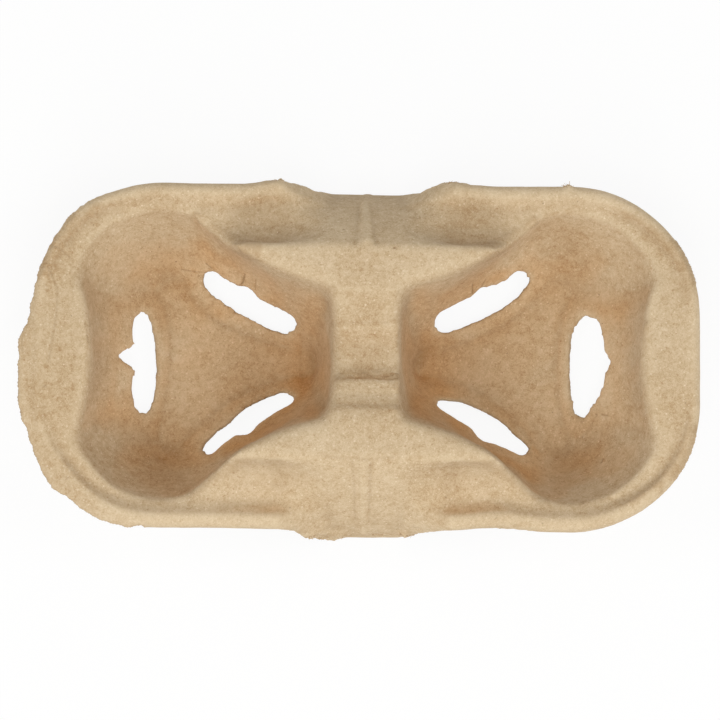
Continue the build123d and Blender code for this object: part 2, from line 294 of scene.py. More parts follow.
@dataclass(frozen=True)
class MouldedPulp:
    """Kraft paper pulp, drawn wet onto a screen and dried: matt, fibrous, mottled and specked."""

    name: str = "moulded_kraft_pulp"
    brown: str = "AF8F67"
    middle: str = "C9B18E"
    pale: str = "D9C4A4"
    brown_at: float = 0.38
    middle_at: float = 0.51
    pale_at: float = 0.64
    # Single fibres are about 0.03 mm wide, drawn here as coarse as the picture can show.
    fibre: Grain = Grain(0.75, 3.0, 0.75, 1.4)
    grit: Grain = Grain(0.9, 4.0, 0.7, 1.2)
    # The tan drifts over centimetres and mottles over millimetres.
    mottle: Grain = Grain(2.6, 4.0, 0.62, 0.5)
    cloud: Grain = Grain(24.0, 3.0, 0.55)
    fibre_share: float = 0.54
    mottle_share: float = 0.28
    cloud_share: float = 0.2
    felt_share: float = 0.5
    bump_strength: float = 0.5
    bump_mm: float = 0.17
    speck_fray: float = 0.0009
    # Dark specks of bark, small rusty ones, and pale flecks of bleached fibre
    dots: tuple[Dots, ...] = (
        Dots(0.0, 5.0, 0.035, "7A5B3C", 0.6),
        Dots(2.1, 1.6, 0.11, "9A6A3A", 0.5),
        Dots(3.7, 1.5, 0.12, "ECDCC0", 0.6),
    )
    # Painted shade makes the hollows a deeper, warmer tan and darkens inner bends and creases, and
    # a painted highlight makes outer bends paler. Torn edges show the browner fibre inside.
    shade_and_wear: tuple[ShadeAndWear, ...] = (
        ShadeAndWear(Trait.SHELTER, "MULTIPLY", "F6C47A", 0.24, 0.9, 1.0),
        ShadeAndWear(Trait.RUBBED, "MIX", "E6D2B0", 0.0, 1.0, 0.6),
        ShadeAndWear(Trait.TORN, "MIX", "A07C52", 0.0, 1.0, 0.85),
        ShadeAndWear(Trait.CREASED, "MIX", "8A6A45", 0.0, 1.0, 0.9),
    )

    def build(self) -> bpy.types.Material:
        """Make the pulp's material.

        Returns:
            The finished material.
        """
        material = bpy.data.materials.new(self.name)
        material.use_nodes = True
        tree = material.node_tree
        tree.nodes.clear()
        where = add_node(tree, "ShaderNodeTexCoord").outputs["Object"]
        fibre = self._noise(tree, where, self.fibre)
        tan = self._tan(tree, where, fibre)
        specked = self._specks(tree, where, fibre, tan)
        colour = self._shaded_and_worn(tree, specked)
        # The face is felted and finely pitted, so it scatters nearly all light.
        felt = add_node(
            tree,
            "ShaderNodeMath",
            {"operation": "MULTIPLY_ADD", 1: self.felt_share},
            {0: fibre.outputs["Fac"], 2: self._noise(tree, where, self.grit).outputs["Fac"]},
        )
        bump = add_node(
            tree,
            "ShaderNodeBump",
            {"Strength": self.bump_strength, "Distance": self.bump_mm * MM},
            {"Height": felt.outputs[0]},
        )
        shader = add_node(
            tree,
            "ShaderNodeBsdfPrincipled",
            {
                "Roughness": 0.92,
                "IOR": 1.47,
                "Specular IOR Level": 0.15,
                "Sheen Weight": 0.06,
                "Sheen Roughness": 0.6,
            },
            {"Base Color": colour, "Normal": bump.outputs[0]},
        )
        add_node(tree, "ShaderNodeOutputMaterial", {}, {"Surface": shader.outputs[0]})
        return material

    @staticmethod
    def _noise(
        tree: bpy.types.NodeTree, where: bpy.types.NodeSocket, grain: Grain
    ) -> bpy.types.Node:
        """Add a noise of one grain.

        Args:
            tree: The material's node tree.
            where: Object coordinates.
            grain: Its size and roughness.

        Returns:
            The noise node.
        """
        settings = {
            "Scale": scale_of(grain.size_mm),
            "Detail": grain.detail,
            "Roughness": grain.roughness,
            "Distortion": grain.distortion,
        }
        return add_node(tree, "ShaderNodeTexNoise", settings, {"Vector": where})

    def _tan(
        self, tree: bpy.types.NodeTree, where: bpy.types.NodeSocket, fibre: bpy.types.Node
    ) -> bpy.types.NodeSocket:
        """Mix clouds, mottling and fibre into the ground tan.

        Args:
            tree: The material's node tree.
            where: Object coordinates.
            fibre: The finest noise.

        Returns:
            The colour socket.
        """
        clouds = add_node(
            tree,
            "ShaderNodeMath",
            {"operation": "MULTIPLY", 1: self.cloud_share},
            {0: self._noise(tree, where, self.cloud).outputs["Fac"]},
        )
        mottles = add_node(
            tree,
            "ShaderNodeMath",
            {"operation": "MULTIPLY_ADD", 1: self.mottle_share},
            {0: self._noise(tree, where, self.mottle).outputs["Fac"], 2: clouds.outputs[0]},
        )
        fibres = add_node(
            tree,
            "ShaderNodeMath",
            {"operation": "MULTIPLY_ADD", 1: self.fibre_share},
            {0: fibre.outputs["Fac"], 2: mottles.outputs[0]},
        )
        stops = [
            (self.brown_at, linear(self.brown)),
            (self.middle_at, linear(self.middle)),
            (self.pale_at, linear(self.pale)),
        ]
        ramp = add_node(tree, "ShaderNodeValToRGB", {"stops": stops}, {"Fac": fibres.outputs[0]})
        return ramp.outputs["Color"]

    def _specks(
        self,
        tree: bpy.types.NodeTree,
        where: bpy.types.NodeSocket,
        fibre: bpy.types.Node,
        ground: bpy.types.NodeSocket,
    ) -> bpy.types.NodeSocket:
        """Scatter bark specks and pale flecks of bleached fibre over the tan.

        Args:
            tree: The material's node tree.
            where: Object coordinates.
            fibre: The finest noise, which frays the specks.
            ground: The tan.

        Returns:
            The colour socket.
        """
        colour = ground
        for dots in self.dots:
            moved = add_node(
                tree, "ShaderNodeMapping", {"Location": (dots.shift,) * 3}, {"Vector": where}
            )
            frayed = add_node(
                tree,
                "ShaderNodeMix",
                {"data_type": "VECTOR", 0: self.speck_fray},
                {4: moved.outputs[0], 5: fibre.outputs["Color"]},
            )
            cell = add_node(
                tree,
                "ShaderNodeTexVoronoi",
                {"Scale": scale_of(dots.cell_mm)},
                {"Vector": frayed.outputs[1]},
            )
            dot = add_node(
                tree,
                "ShaderNodeMapRange",
                {"From Min": dots.radius * 2.0, "From Max": dots.radius},
                {"Value": cell.outputs["Distance"]},
            )
            chance = add_node(tree, "ShaderNodeSeparateXYZ", {}, {"Vector": cell.outputs["Color"]})
            drawn = add_node(
                tree,
                "ShaderNodeMath",
                {"operation": "MULTIPLY"},
                {0: dot.outputs[0], 1: chance.outputs["X"]},
            )
            colour = self._tinted(tree, colour, "MIX", dots.tint, dots.strength, drawn.outputs[0])
        return colour

    def _shaded_and_worn(
        self, tree: bpy.types.NodeTree, ground: bpy.types.NodeSocket
    ) -> bpy.types.NodeSocket:
        """Paint shade into hollows and creases and a highlight onto outer bends, and tint torn
        edges with their browner fibre.

        Args:
            tree: The material's node tree.
            ground: The specked tan.

        Returns:
            The colour socket.
        """
        colour = ground
        for shade_and_wear in self.shade_and_wear:
            share = add_node(tree, "ShaderNodeAttribute", {"attribute_name": shade_and_wear.trait.value})
            amount = add_node(
                tree,
                "ShaderNodeMapRange",
                {"From Min": shade_and_wear.start, "From Max": shade_and_wear.full},
                {"Value": share.outputs["Fac"]},
            )
            colour = self._tinted(
                tree, colour, shade_and_wear.blend, shade_and_wear.tint, shade_and_wear.strength, amount.outputs[0]
            )
        return colour

    @staticmethod
    def _tinted(
        tree: bpy.types.NodeTree,
        ground: bpy.types.NodeSocket,
        blend: str,
        tint: str,
        strength: float,
        share: bpy.types.NodeSocket,
    ) -> bpy.types.NodeSocket:
        """Lay one tint over a colour.

        Args:
            tree: The material's node tree.
            ground: The colour below.
            blend: How the two mix.
            tint: The tint's hex colour.
            strength: How much of it shows where the share is 1.
            share: How much of it each place has.

        Returns:
            The mixed colour's socket.
        """
        amount = add_node(
            tree, "ShaderNodeMath", {"operation": "MULTIPLY", 1: strength}, {0: share}
        )
        mixed = add_node(
            tree,
            "ShaderNodeMix",
            {"data_type": "RGBA", "blend_type": blend, 7: linear(tint)},
            {0: amount.outputs[0], 6: ground},
        )
        return mixed.outputs[2]


@dataclass(frozen=True)
class PhotoCamera:
    """The camera above the carrier, a little to its near side."""

    aim_mm: tuple[float, float, float] = (0.24, -2.84, 44.5)
    tilt_deg: float = 5.96
    distance: float = 0.955
    roll_deg: float = 0.6
    focal_px: float = 3034.0
    frame_px: float = 720.0
    sensor_mm: float = 36.0
    clip: tuple[float, float] = (0.01, 20.0)

    def pose(self) -> Matrix:
        """Work out where the camera stands and how it is turned.

        Returns:
            Its matrix in the world.
        """
        tilt = math.radians(self.tilt_deg)
        forward = Vector((0, math.sin(tilt), -math.cos(tilt)))
        up = Vector((0, math.cos(tilt), math.sin(tilt)))
        turn = Matrix((Vector((1, 0, 0)), up, -forward)).transposed()
        rolled = turn @ Matrix.Rotation(math.radians(self.roll_deg), 3, "Z")
        place = from_mm(self.aim_mm) - forward * self.distance
        return Matrix.Translation(place) @ rolled.to_4x4()

    def ray(self, pixel: Pixel) -> tuple[Vector, Vector]:
        """Follow the line of sight through one pixel of the photograph.

        Args:
            pixel: Its column and row.

        Returns:
            The camera's place and the line's direction.
        """
        pose = self.pose()
        across = (pixel[0] - self.frame_px / 2) / self.focal_px
        down = (pixel[1] - self.frame_px / 2) / self.focal_px
        return pose.translation, (pose.to_3x3() @ Vector((across, -down, -1.0))).normalized()

    def build(self) -> bpy.types.Object:
        """Place the camera and make it the scene's own.

        Returns:
            The camera object.
        """
        lens = bpy.data.cameras.new("photo_camera")
        lens.sensor_width = self.sensor_mm
        lens.lens = self.focal_px / self.frame_px * lens.sensor_width
        lens.clip_start, lens.clip_end = self.clip
        camera = bpy.data.objects.new("photo_camera", lens)
        camera.matrix_world = self.pose()
        bpy.context.scene.collection.objects.link(camera)
        bpy.context.scene.camera = camera
        return camera


@dataclass
class PulpTray:
    """The carrier itself: one sheet of pulp with soft bends, a felted face and torn edges."""

    node: bpy.types.Object
    camera: PhotoCamera
    finish: bpy.types.Material
    # The mesh
    merge_mm: float = 0.002
    voxel_mm: float = 1.15
    soften_share: float = 0.5
    soften_rounds: int = 3
    edge_refine_mm: float = 0.7
    line_refine_mm: float = 1.3
    fine_refine_mm: float = 0.8
    fine_line_mm: float = 0.55
    most_triangles: int = 190000
    # The lips of the wells
    border_reach_mm: float = 7.5
    border_steps: int = 12
    border_weight: float = 1.8
    border_rounds: int = 50
    # The raw edges: what lies below slots_below_mm is a slot and not the hem, and the flap that
    # the photograph shows torn lies left of flap_x_mm.
    skin_mm: float = 0.1
    sheet_mm: float = 3.2
    raw_edge_mm: float = 1.1
    hem_growth_mm: float = 0.35
    slot_growth_mm: float = 0.05
    slots_below_mm: float = 20.0
    flap_x_mm: float = -100.0
    ragged_mm: float = 0.4
    ragged_length_mm: float = 2.2
    whole_rim_share: float = 0.15
    fray_mm: float = 0.18
    fray_length_mm: float = 0.7
    torn_reach_mm: float = 3.4
    push_length_mm: float = 1.6
    brown_length_mm: float = 1.8
    raw_brown: float = 0.42
    # The soft bends, by how far a point stands out of the average of its neighbours, which set
    # their painted shade and highlight
    bend_rounds: int = 10
    bend_blur: int = 2
    flat_mm: float = 0.06
    most_bent: float = 0.9
    crease_reach: int = 3
    # The sheet out of true, its foot kept flat up to foot_mm
    sway_mm: float = 0.3
    sway_length_mm: float = 34.0
    lump_mm: float = 0.08
    lump_length_mm: float = 4.5
    foot_mm: float = 8.0
    # The shelter of each point, which sets the painted shade of the hollows
    shelter_rays: int = 14
    shelter_lift_mm: float = 0.3
    shelter_reach_mm: float = 60.0
    shelter_blur: int = 5
    near_wall_share: float = 0.5
    edge_spots: tuple[EdgeSpot, ...] = (
        EdgeSpot((282, 188), 13.0, Push.FAR, 1.5),
        EdgeSpot((308, 193), 8.0, Push.FAR, 1.3),
        EdgeSpot((438, 190), 12.0, Push.FAR, 1.6),
        EdgeSpot((463, 187), 11.0, Push.FAR, 0.6),
        EdgeSpot((569, 189), 2.2, Push.FAR, 1.3),
        EdgeSpot((313, 531), 9.0, Push.NEAR, 2.0),
        EdgeSpot((332, 533), 7.5, Push.NEAR, 1.9),
        EdgeSpot((404, 533), 3.2, Push.NEAR, 1.2),
        EdgeSpot((419, 530), 1.6, Push.FAR, 1.6),
        EdgeSpot((500, 526), 16.0, Push.FAR, 1.1),
        EdgeSpot((78, 218), 18.0, Push.FAR, 1.5),
        # The foot of the saddle's near step
        EdgeSpot((345, 366), 8.0, Push.NEAR, 1.5),
        EdgeSpot((367, 366), 8.0, Push.NEAR, 1.5),
        EdgeSpot((389, 366), 8.0, Push.NEAR, 1.5),
        # The left end
        EdgeSpot((52, 480), 20.0, Push.RIGHT, 1.3),
        EdgeSpot((43, 291), 3.0, Push.RIGHT, 0.5),
        EdgeSpot((21, 344), 4.0, Push.LEFT, 0.4),
    )
    creases: tuple[Crease, ...] = (
        # The flap at the left end
        Crease(((47, 263), (53, 275), (58, 288), (57, 310), (53, 334), (48, 361)), 0.4, 0.2, 0.26),
        Crease(((53, 244), (63, 250), (71, 257)), 0.35, 0.18, 0.25),
        Crease(((85, 323), (88, 341)), 0.35, 0.12, 0.3),
        Crease(((22, 335), (22, 352)), 0.3, 0.12, 0.35),
        # The near shelf's foot
        Crease(((326, 456), (343, 458), (372, 459), (393, 457)), 0.5, 0.14, 0.16),
        # Slits and nicks
        Crease(((182, 270), (193, 272), (205, 273)), 0.3, 0.2, 0.5),
        Crease(((472.5, 283), (472.7, 294)), 0.28, 0.5, 1.0),
        Crease(((485.6, 280), (481, 288)), 0.26, 0.4, 0.8),
        Crease(((522, 270), (523, 279)), 0.26, 0.35, 0.7),
        Crease(((245, 274), (243, 282), (239, 289)), 0.3, 0.5, 1.0),
        Crease(((256, 280), (255, 290)), 0.24, 0.3, 0.6),
        Crease(((206, 264), (212, 269)), 0.28, 0.35, 0.7),
        Crease(((394, 247.3), (395, 247.3)), 0.32, 0.3, 0.9),
        Crease(((343, 229.5), (344, 229.7)), 0.3, 0.1, 0.8),
        Crease(((359, 213), (362, 210), (359, 217), (361, 221)), 0.3, 0.12, 0.35),
        Crease(((602, 414), (607, 415)), 0.3, 0.2, 0.7),
        Crease(((601.5, 462), (603, 459)), 0.4, 0.15, 0.7),
        Crease(((581, 502), (583, 503)), 0.35, 0.1, 0.5),
        Crease(((44.5, 386), (45.5, 386)), 0.4, 0.05, 0.45),
        # Folds of the floors, round the slots
        Crease(
            ((157, 289), (165, 305), (170, 327), (171, 350), (169, 373), (165, 400), (157, 443)),
            *FLOOR_FOLD,
        ),
        Crease(
            ((182, 280), (195, 302), (213, 318), (230, 327), (250, 336), (270, 344), (283, 347)),
            *FLOOR_FOLD,
        ),
        Crease(
            (
                (305, 375), (293, 376), (270, 382), (250, 390),
                (230, 400), (213, 412), (197, 427), (180, 443),
            ),
            *FLOOR_FOLD,
        ),
        Crease(
            ((550, 280), (537, 297), (517, 315), (500, 327), (477, 337), (457, 345), (443, 350)),
            *FLOOR_FOLD,
        ),
        Crease(
            ((568, 297), (560, 320), (556, 343), (555, 370), (557, 397), (563, 423), (568, 437)),
            *FLOOR_FOLD,
        ),
        Crease(
            (
                (420, 375), (437, 378), (460, 383), (483, 395),
                (503, 410), (520, 427), (533, 443), (540, 452),
            ),
            *FLOOR_FOLD,
        ),
        Crease(((597, 413), (588, 430), (577, 441)), 0.6, 0.15, 0.16),
        Crease(((303, 335), (301, 355), (303, 380)), 0.9, 0.15, 0.16),
        # Ribs of the scoops, with painted shade along their sides and a painted highlight down the
        # middle
        Crease(((360, 203), (358, 215), (356, 232), (355, 243)), 0.7, 0.22, 0.16),
        Crease(((370, 203), (372, 215), (374, 232), (376, 243)), 0.7, 0.22, 0.2),
        Crease(((365, 202), (365, 222), (365.5, 241)), 1.7, -0.3, -0.4),
        Crease(((353, 463), (354, 480), (355, 500), (356, 522)), 0.5, 0.22, 0.16),
        Crease(((372, 463), (371, 480), (370, 500), (369, 522)), 0.5, 0.22, 0.16),
        Crease(((362, 463), (362, 520)), 1.3, -0.2, -0.15),
        # Steps of the saddle, with painted shade in their folds and painted highlights on their
        # edges
        Crease(((334, 376), (350, 376), (367, 375.5), (384, 376), (398, 377)), 0.9, 0.25, 0.26),
        Crease(((338, 404), (367, 404), (398, 404)), 1.1, 0.2, 0.1),
        Crease(((334, 339), (367, 339), (398, 339)), 1.5, 0.12, 0.1),
        # These three lines have no depth: they only paint shade into the saddle's valley.
        Crease(((342, 352), (390, 352)), 3.0, 0.0, 0.12),
        Crease(((342, 406), (390, 406)), 2.4, 0.0, 0.16),
        Crease(((342, 370), (390, 370)), 1.8, 0.0, 0.1),
        Crease(((340, 322), (388, 322)), 0.4, 0.12, 0.14),
        Crease(((336, 289), (367, 288), (396, 289)), 0.9, -0.15, -0.3),
        Crease(((337, 328), (392, 328)), 0.6, -0.12, -0.25),
        Crease(((338, 390), (396, 390)), 0.9, -0.12, -0.2),
    )
    # The lips of the two wells at the bridge, then at the ends
    soft_borders: tuple[tuple[Pixel, ...], ...] = (
        (
            (212, 232), (250, 262), (290, 276), (326, 287), (332, 302), (332, 355),
            (331, 405), (325, 417), (290, 428), (258, 444), (232, 463), (200, 492),
        ),
        (
            (520, 232), (482, 262), (442, 276), (407, 287), (402, 302), (402, 355),
            (402, 405), (408, 417), (442, 428), (474, 444), (500, 463), (532, 492),
        ),
        ((83, 272), (92, 300), (95, 350), (90, 400), (80, 440)),
        ((649, 272), (640, 300), (637, 350), (642, 400), (652, 440)),
    )
    torn_pixels: tuple[Pixel, ...] = (
        (300, 534), (309, 536), (318, 537), (327, 537), (336, 537), (348, 536),
        (360, 535), (372, 534), (380, 534), (390, 533), (398, 534), (405, 535),
        (411, 534), (569, 186), (448, 183), (276, 180),
    )

    def build(self) -> bpy.types.Object:
        """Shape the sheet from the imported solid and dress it.

        Returns:
            The finished carrier.
        """
        tray = self._copy_of_solid()
        apply_modifier(tray, "REMESH", mode="VOXEL", voxel_size=self.voxel_mm * MM)
        apply_modifier(tray, "SMOOTH", factor=self.soften_share, iterations=self.soften_rounds)
        edges = self._edge_places(tray)
        self._ease_borders(tray)
        lines = self._crease_lines(tray)
        all_places = [place for places, _ in lines for place in places]
        fine_places = [
            place
            for places, crease in lines
            for place in places
            if crease.width_mm < self.fine_line_mm
        ]
        self._refine(tray, edges, self.edge_refine_mm)
        self._refine(tray, tree_of(all_places), self.line_refine_mm)
        self._refine(tray, tree_of(fine_places), self.fine_refine_mm)
        self._tear(tray, edges)
        self._press(tray, lines)
        self._roughen(tray)
        self._thin_out(tray)
        self._measure_shelter(tray)
        pick(tray)
        bpy.ops.object.shade_smooth()
        tray.data.materials.clear()
        tray.data.materials.append(self.finish)
        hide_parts(self.node.name)
        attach(tray, "root")
        return tray

    def _copy_of_solid(self) -> bpy.types.Object:
        """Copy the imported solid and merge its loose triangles.

        Returns:
            A closed mesh of its own.
        """
        pick(self.node)
        bpy.ops.object.duplicate()
        tray = bpy.context.object
        tray.name = tray.data.name = "pulp_tray"
        for key in [k for k in tray.keys() if k.startswith("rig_")]:
            del tray[key]
        tray.parent = None
        bpy.ops.object.mode_set(mode="EDIT")
        bpy.ops.mesh.select_all(action="SELECT")
        bpy.ops.mesh.remove_doubles(threshold=self.merge_mm * MM)
        bpy.ops.object.mode_set(mode="OBJECT")
        return tray

    def _edge_places(self, tray: bpy.types.Object) -> KDTree:
        """Find the raw edges of the sheet, where a line straight in runs along it, not through.

        Args:
            tray: The eased sheet.

        Returns:
            A search tree over the points on raw edges.
        """
        surface = surface_of(tray)
        places = []
        for vert in tray.data.vertices:
            inward = -vert.normal
            through = surface.ray_cast(vert.co + inward * self.skin_mm * MM, inward)[3]
            if through is not None and through > self.sheet_mm * MM:
                places.append(vert.co.copy())
        return tree_of(places)

    def _on_sheet(self, surface: BVHTree, pixel: Pixel) -> Vector | None:
        """Find where a pixel of the photograph meets the sheet.

        Args:
            surface: The sheet's search tree.
            pixel: Column and row.

        Returns:
            The place, or nothing where the pixel misses the sheet.
        """
        return surface.ray_cast(*self.camera.ray(pixel))[0]

    def _along(
        self, surface: BVHTree, start: Pixel, end: Pixel, shares: list[float]
    ) -> list[Vector]:
        """Lay points of the line between two pixels onto the sheet.

        Args:
            surface: The sheet's search tree.
            start: The pixel at share 0.
            end: The pixel at share 1.
            shares: How far along the line each point lies.

        Returns:
            The places of the points that meet the sheet.
        """
        (x0, y0), (x1, y1) = start, end
        pixels = [(x0 + (x1 - x0) * share, y0 + (y1 - y0) * share) for share in shares]
        places = [self._on_sheet(surface, pixel) for pixel in pixels]
        return [place for place in places if place is not None]

    def _crease_lines(self, tray: bpy.types.Object) -> list[tuple[list[Vector], Crease]]:
        """Lay each crease onto the sheet.

        Args:
            tray: The eased sheet.

        Returns:
            Places a fraction of a millimetre apart along each crease, with the crease.
        """
        surface = surface_of(tray)
        lines = []
        for crease in self.creases:
            places = []
            for start, end in zip(crease.pixels, crease.pixels[1:]):
                steps = max(2, round(math.dist(start, end)))
                shares = [step / steps for step in range(steps + 1)]
                places += self._along(surface, start, end, shares)
            if places:
                lines.append((places, crease))
        return lines

    def _ease_borders(self, tray: bpy.types.Object) -> None:
        """Round off the lip of each cup well beyond the solid's own edge.

        Args:
            tray: The sheet.
        """
        surface = surface_of(tray)
        shares = [step / self.border_steps for step in range(self.border_steps)]
        places = []
        for line in self.soft_borders:
            for start, end in zip(line, line[1:]):
                places += self._along(surface, start, end, shares)
        borders = tree_of(places)
        group = tray.vertex_groups.new(name="borders")
        for vert in tray.data.vertices:
            near = nearness(borders, vert.co, self.border_reach_mm)
            if near > 0:
                group.add([vert.index], min(1.0, self.border_weight * near), "REPLACE")
        apply_modifier(
            tray,
            "SMOOTH",
            factor=self.soften_share,
            iterations=self.border_rounds,
            vertex_group="borders",
        )
        tray.vertex_groups.clear()

    @staticmethod
    def _refine(tray: bpy.types.Object, near: KDTree, reach_mm: float) -> None:
        """Halve the sides of the faces near some places.

        Args:
            tray: The sheet.
            near: The places.
            reach_mm: How near a face's centre lies to be divided.
        """
        pick(tray)
        for face in tray.data.polygons:
            face.select = near.find(face.center)[2] < reach_mm * MM
        for edge in tray.data.edges:
            edge.select = False
        for vert in tray.data.vertices:
            vert.select = False
        bpy.ops.object.mode_set(mode="EDIT")
        bpy.ops.mesh.select_mode(type="FACE")
        bpy.ops.mesh.subdivide(number_cuts=1, quadcorner="INNERVERT")
        bpy.ops.object.mode_set(mode="OBJECT")

    def _tear(self, tray: bpy.types.Object, edges: KDTree) -> None:
        """Push the torn places out of line, fray the raw edges and mark them.

        Args:
            tray: The sheet.
            edges: The points on raw edges.
        """
        surface = surface_of(tray)
        spots = [(self._on_sheet(surface, spot.pixel), spot) for spot in self.edge_spots]
        torn = [self._on_sheet(surface, pixel) for pixel in self.torn_pixels]
        torn_tree = tree_of([place for place in torn if place is not None])
        marks = []
        for vert, normal in zip(tray.data.vertices, normals_of(tray)):
            place = vert.co.copy()
            raw = nearness(edges, place, self.raw_edge_mm)
            frayed = nearness(torn_tree, place, self.torn_reach_mm)
            in_slot = place.z <= self.slots_below_mm * MM
            grown = self.slot_growth_mm if in_slot else self.hem_growth_mm
            vert.co += normal * (grown * raw * MM)
            vert.co += self._ragged(place, frayed) * (raw * MM)
            for centre, spot in spots:
                if centre is not None and (place - centre).length < spot.reach_mm * MM:
                    vert.co += self._pushed(place, centre, spot)
            blotch = 0.8 + 0.6 * swell(place, self.brown_length_mm)
            brown = self.raw_brown * raw + frayed * (0.25 + 0.75 * raw) * blotch
            marks.append(max(0.0, min(1.0, brown)))
        keep_trait(tray, Trait.TORN, marks)

    def _ragged(self, place: Vector, frayed: float) -> Vector:
        """Say how far a raw edge is out of line at a place.

        Args:
            place: The place on the edge.
            frayed: How torn it is there, from 0 to 1.

        Returns:
            The way and the millimetres.
        """
        coarse = wobble(place, self.ragged_length_mm) * self.ragged_mm
        fine = wobble(place, self.fray_length_mm) * self.fray_mm
        torn_here = place.z < self.slots_below_mm * MM or place.x < self.flap_x_mm * MM
        rough = 1.0 if torn_here else self.whole_rim_share + frayed
        return coarse * rough + fine * (rough + 2 * frayed)

    def _pushed(self, place: Vector, centre: Vector, spot: EdgeSpot) -> Vector:
        """Say how far a spot pushes a place within its reach.

        Args:
            place: The place.
            centre: Where the spot lies on the sheet.
            spot: Its reach and push.

        Returns:
            The push in metres.
        """
        share = 1 - ((place - centre).length / (spot.reach_mm * MM)) ** 2
        rough = 1 + 0.5 * swell(place, self.push_length_mm)
        return Vector((*spot.way.value, 0)) * (share * share * rough * spot.by_mm * MM)

    @staticmethod
    def _averaged(tray: bpy.types.Object, values: np.ndarray, rounds: int) -> np.ndarray:
        """Average a value at each point with its neighbours.

        Args:
            tray: The sheet.
            values: One row per point.
            rounds: How often.

        Returns:
            The averaged rows.
        """
        pairs = np.empty(len(tray.data.edges) * 2, dtype=np.int64)
        tray.data.edges.foreach_get("vertices", pairs)
        left, right = pairs[0::2], pairs[1::2]
        counts = 1.0 + np.bincount(pairs, minlength=len(values))[:, None]
        for _ in range(rounds):
            sums = values.copy()
            np.add.at(sums, left, values[right])
            np.add.at(sums, right, values[left])
            values = sums / counts
        return values

    def _bends(self, tray: bpy.types.Object) -> tuple[list[float], list[float]]:
        """Find the soft bends, which get painted shade inside and a painted highlight outside.

        Args:
            tray: The sheet.

        Returns:
            How much painted shade and how much painted highlight each point gets, from 0 to 1.
        """
        places = np.array([vert.co for vert in tray.data.vertices])
        normals = np.array([vert.normal for vert in tray.data.vertices])
        away = places - self._averaged(tray, places, self.bend_rounds)
        rise = (away * normals).sum(1, keepdims=True) / MM
        rise = self._averaged(tray, rise, self.bend_blur)[:, 0]
        creased = np.clip(-rise - self.flat_mm, 0, self.most_bent)
        rubbed = np.clip(rise - self.flat_mm, 0, self.most_bent)
        return list(creased), list(rubbed)

    def _press(self, tray: bpy.types.Object, lines: list[tuple[list[Vector], Crease]]) -> None:
        """Press the creases into the sheet and paint shade along them, or a highlight where their
        shade is below zero.

        Args:
            tray: The sheet.
            lines: Places along each crease.
        """
        creased, rubbed = self._bends(tray)
        verts = tree_of([vert.co for vert in tray.data.vertices])
        normals = normals_of(tray)
        for places, crease in lines:
            near: dict[int, float] = {}
            for place in places:
                reach = self.crease_reach * crease.width_mm * MM
                for _, index, distance in verts.find_range(place, reach):
                    near[index] = min(distance, near.get(index, distance))
            mark = creased if crease.shade > 0 else rubbed
            for index, distance in near.items():
                share = math.exp(-((distance / (crease.width_mm * MM)) ** 2))
                tray.data.vertices[index].co -= normals[index] * (share * crease.depth_mm * MM)
                mark[index] = min(1.0, mark[index] + share * abs(crease.shade))
        keep_trait(tray, Trait.CREASED, creased)
        keep_trait(tray, Trait.RUBBED, rubbed)

    def _roughen(self, tray: bpy.types.Object) -> None:
        """Move the sheet a little out of true, and keep it on the floor.

        Args:
            tray: The sheet.
        """
        for vert, normal in zip(tray.data.vertices, normals_of(tray)):
            place = vert.co.copy()
            sway = wobble(place, self.sway_length_mm) * (self.sway_mm * MM)
            sway.z *= min(1.0, place.z / (self.foot_mm * MM))
            lump = swell(place, self.lump_length_mm) * self.lump_mm * MM
            vert.co = place + sway + normal * lump
            vert.co.z = max(vert.co.z, 0.0)
        tray.data.update()

    def _thin_out(self, tray: bpy.types.Object) -> None:
        """Merge the flattest triangles until no more than most_triangles are left.

        Args:
            tray: The sheet.
        """
        tray.data.calc_loop_triangles()
        count = len(tray.data.loop_triangles)
        if count > self.most_triangles:
            apply_modifier(tray, "DECIMATE", ratio=self.most_triangles / count)

    def _measure_shelter(self, tray: bpy.types.Object) -> None:
        """Mark how much of the open air each point of the sheet misses, for the painted shade in
        hollows.

        Args:
            tray: The sheet.
        """
        surface = surface_of(tray)
        golden = math.pi * (3 - math.sqrt(5))
        fan = []
        for number in range(self.shelter_rays):
            height = math.sqrt(1 - (number + 0.5) / self.shelter_rays)
            radius = math.sqrt(1 - height * height)
            around = golden * number
            fan.append(Vector((radius * math.cos(around), radius * math.sin(around), height)))
        shares = []
        for vert, normal in zip(tray.data.vertices, normals_of(tray)):
            turn = normal.to_track_quat("Z", "X")
            start = vert.co + normal * self.shelter_lift_mm * MM
            hits = sum(
                surface.ray_cast(start, turn @ way, self.shelter_reach_mm * MM)[0] is not None
                for way in fan
            )
            # The painted shade is made deepest on the wells' near walls, which face the far side.
            shares.append(hits / len(fan) * (1 + self.near_wall_share * max(0.0, normal.y)))
        blurred = self._averaged(tray, np.array(shares)[:, None], self.shelter_blur)[:, 0]
        keep_trait(tray, Trait.SHELTER, list(blurred))


